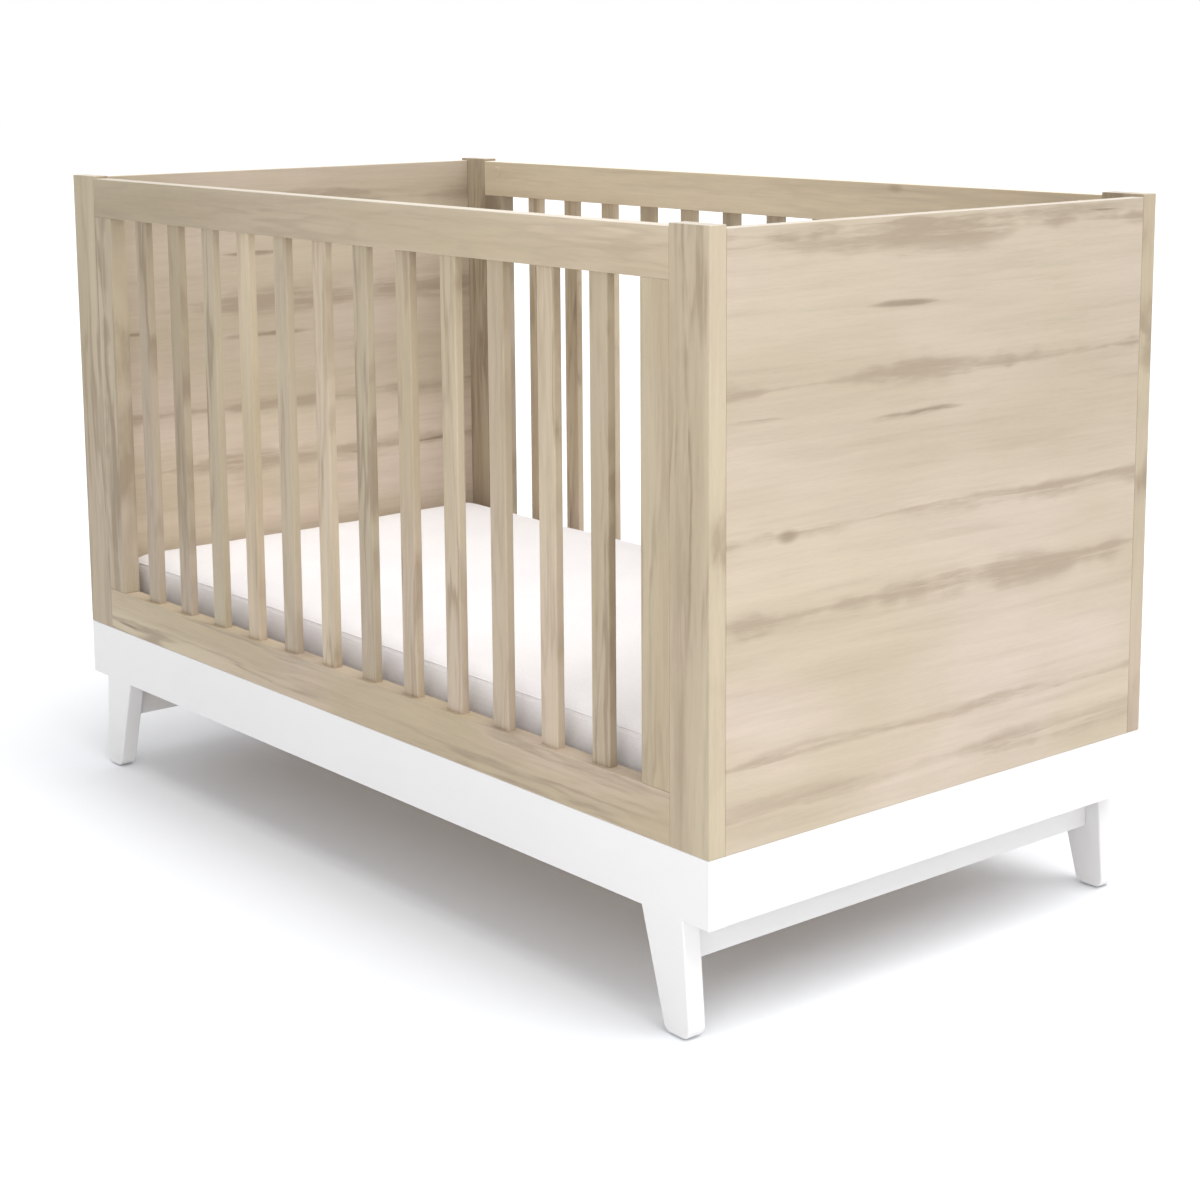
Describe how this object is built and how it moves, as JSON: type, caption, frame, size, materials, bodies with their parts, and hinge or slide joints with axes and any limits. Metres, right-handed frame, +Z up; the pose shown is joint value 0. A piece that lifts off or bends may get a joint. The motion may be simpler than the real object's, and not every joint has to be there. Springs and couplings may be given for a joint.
{
  "type": "baby crib",
  "caption": "Convertible baby crib with solid wood-look ends, slatted sides, a white plinth on splayed tapered legs, and a mattress on a lift-out slatted base.",
  "frame": {"origin": "on the floor, below the middle of the crib", "axes": "+X along the length, -Y the front side, +Z up"},
  "size_m": [1.45, 0.764, 0.928],
  "materials": {
    "oak_laminate": "matt pale oak laminate with a brushed grain",
    "white_lacquer": "satin white lacquer",
    "mattress_cover": "soft knitted cover",
    "zinc_steel": "zinc plated",
    "zinc_casting": "dull cast zinc",
    "beech": "fluted beech, unfinished",
    "pine": "planed pine, unfinished",
    "glide_plastic": "matt moulded plastic"
  },
  "bodies": {
    "crib_frame": {"base_brackets": "zinc_steel", "bottom_rail_back": "oak_laminate", "bottom_rail_front": "oak_laminate", "bracket_screws": "zinc_steel", "cam_bolts": "zinc_steel", "cam_locks": "zinc_casting", "corner_post_back_left": "oak_laminate", "corner_post_back_right": "oak_laminate", "corner_post_front_left": "oak_laminate", "corner_post_front_right": "oak_laminate", "cross_rail_left": "white_lacquer", "cross_rail_right": "white_lacquer", "dowels": "beech", "end_panel_left": "oak_laminate", "end_panel_right": "oak_laminate", "foot_glides": "glide_plastic", "leg_back_left": "white_lacquer", "leg_back_right": "white_lacquer", "leg_bolts": "zinc_steel", "leg_front_left": "white_lacquer", "leg_front_right": "white_lacquer", "plinth_board_back": "white_lacquer", "plinth_board_front": "white_lacquer", "plinth_end_left": "white_lacquer", "plinth_end_right": "white_lacquer", "slat_back_01": "oak_laminate", "slat_back_02": "oak_laminate", "slat_back_03": "oak_laminate", "slat_back_04": "oak_laminate", "slat_back_05": "oak_laminate", "slat_back_06": "oak_laminate", "slat_back_07": "oak_laminate", "slat_back_08": "oak_laminate", "slat_back_09": "oak_laminate", "slat_back_10": "oak_laminate", "slat_back_11": "oak_laminate", "slat_back_12": "oak_laminate", "slat_front_01": "oak_laminate", "slat_front_02": "oak_laminate", "slat_front_03": "oak_laminate", "slat_front_04": "oak_laminate", "slat_front_05": "oak_laminate", "slat_front_06": "oak_laminate", "slat_front_07": "oak_laminate", "slat_front_08": "oak_laminate", "slat_front_09": "oak_laminate", "slat_front_10": "oak_laminate", "slat_front_11": "oak_laminate", "slat_front_12": "oak_laminate", "stile_back_left": "oak_laminate", "stile_back_right": "oak_laminate", "stile_front_left": "oak_laminate", "stile_front_right": "oak_laminate", "top_rail_back": "oak_laminate", "top_rail_front": "oak_laminate"},
    "mattress_base": {"base_bolts": "zinc_steel", "base_rail_back": "pine", "base_rail_front": "pine", "base_slats": "pine"},
    "mattress": {"mattress": "mattress_cover"}
  },
  "joints": [
    {"name": "base_height", "type": "slide", "parent": "crib_frame", "child": "mattress_base", "axis": [0, 0, 1], "range_m": [0, 0.24]},
    {"name": "mattress_lift", "type": "slide", "parent": "mattress_base", "child": "mattress", "axis": [0, 0, 1], "range_m": [0, 0.7]}
  ]
}
